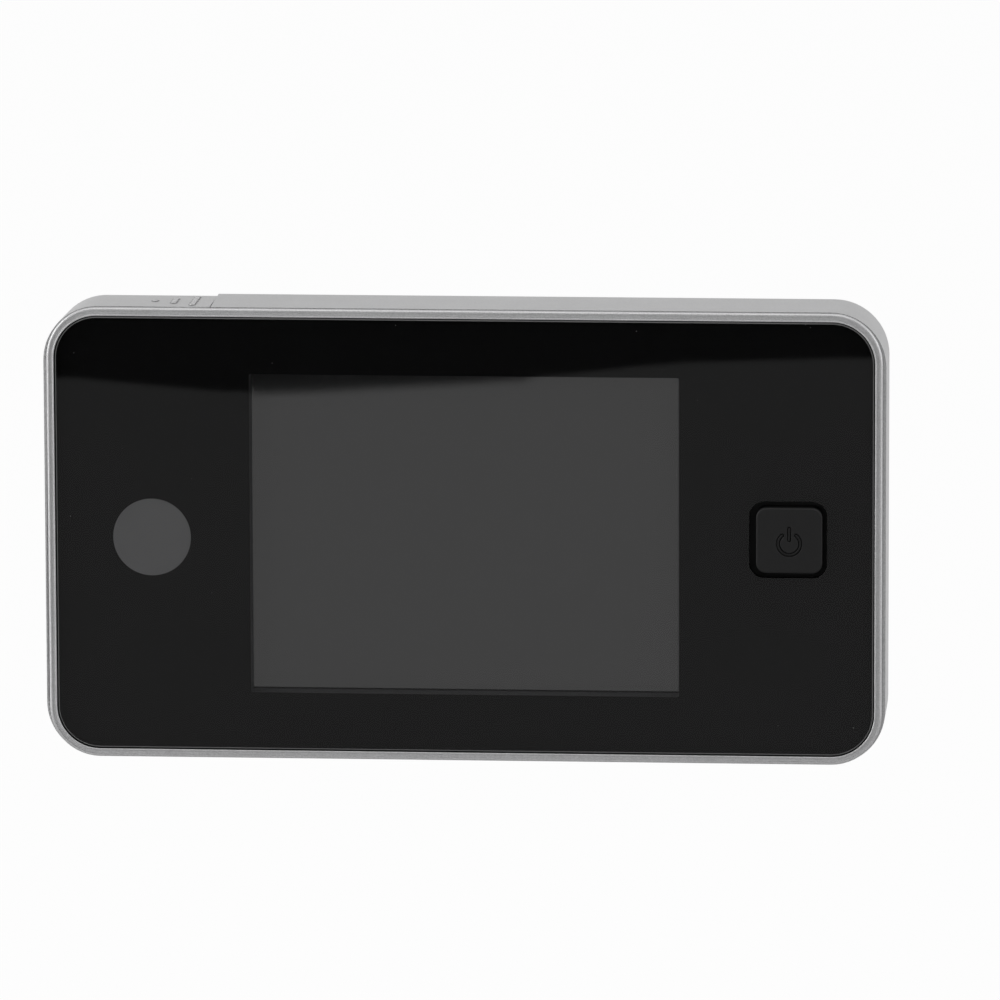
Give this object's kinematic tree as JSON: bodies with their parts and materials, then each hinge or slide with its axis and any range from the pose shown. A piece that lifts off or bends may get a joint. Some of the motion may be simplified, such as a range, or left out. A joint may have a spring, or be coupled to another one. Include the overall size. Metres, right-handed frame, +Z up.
{
  "type": "peephole door camera indoor unit",
  "caption": "Indoor monitor of a door viewer camera: silver housing, black front sheet with a screen window, a power button and a slide-off battery cover.",
  "frame": {"origin": "middle of the back face that meets the door, where the wall bracket sits", "axes": "+X to the right as seen from the room, +Y into the door, +Z up"},
  "size_m": [0.125, 0.0151, 0.0684],
  "materials": {
    "silver_housing": "satin silver paint with a fine sparkle",
    "clear_sheet": "polished clear acrylic",
    "black_print": "black printing seen through the clear sheet",
    "grey_print": "grey printing seen through the clear sheet",
    "black_button": "fine matt black moulded plastic",
    "switch_case": "moulded plastic",
    "plunger": "natural moulded plastic",
    "cell_jacket": "plain printed jacket with bare metal ends",
    "spring_steel": "nickel plated spring steel",
    "foam": "black closed-cell foam",
    "tape": "double-sided tape",
    "tray_steel": "pressed steel",
    "backlight": "white light guide",
    "screen_glass": "dark screen glass",
    "polariser": "dark grey film, switched off",
    "board": "green solder mask",
    "chip": "moulded epoxy",
    "crystal_can": "metal can",
    "capacitor_can": "aluminium can",
    "socket": "cream moulded socket",
    "ribbon": "amber film",
    "screw_steel": "black zinc plated steel"
  },
  "bodies": {
    "housing": {"front_frame": "silver_housing", "front_panel": "clear_sheet", "panel_print": "black_print", "badge_disc": "grey_print", "panel_tape": "tape", "power_switch": "switch_case", "rear_shell": "silver_housing", "battery_cells": "cell_jacket", "battery_springs": "spring_steel", "battery_contacts": "spring_steel", "battery_leads": "spring_steel", "screen_gasket": "foam", "screen_tray": "tray_steel", "screen_backlight": "backlight", "screen_glass": "screen_glass", "screen_polariser": "polariser", "module_tape": "foam", "screen_socket": "socket", "screen_ribbon": "ribbon", "main_board": "board", "processor": "chip", "memory_chip": "chip", "crystal": "crystal_can", "power_inductor": "chip", "board_capacitors": "capacitor_can", "camera_socket": "socket", "case_screws": "screw_steel", "board_screws": "screw_steel"},
    "button": {"power_button": "black_button", "switch_plunger": "plunger"},
    "cover": {"battery_cover": "silver_housing"}
  },
  "joints": [
    {"name": "button_press", "type": "slide", "parent": "housing", "child": "button", "axis": [0, 1, 0], "range_m": [0, 0.0005], "stiffness_N_per_m": 2400, "springref_m": -0.0002},
    {"name": "cover_slide", "type": "slide", "parent": "housing", "child": "cover", "axis": [-1, 0, 0], "range_m": [0, 0.03]}
  ]
}
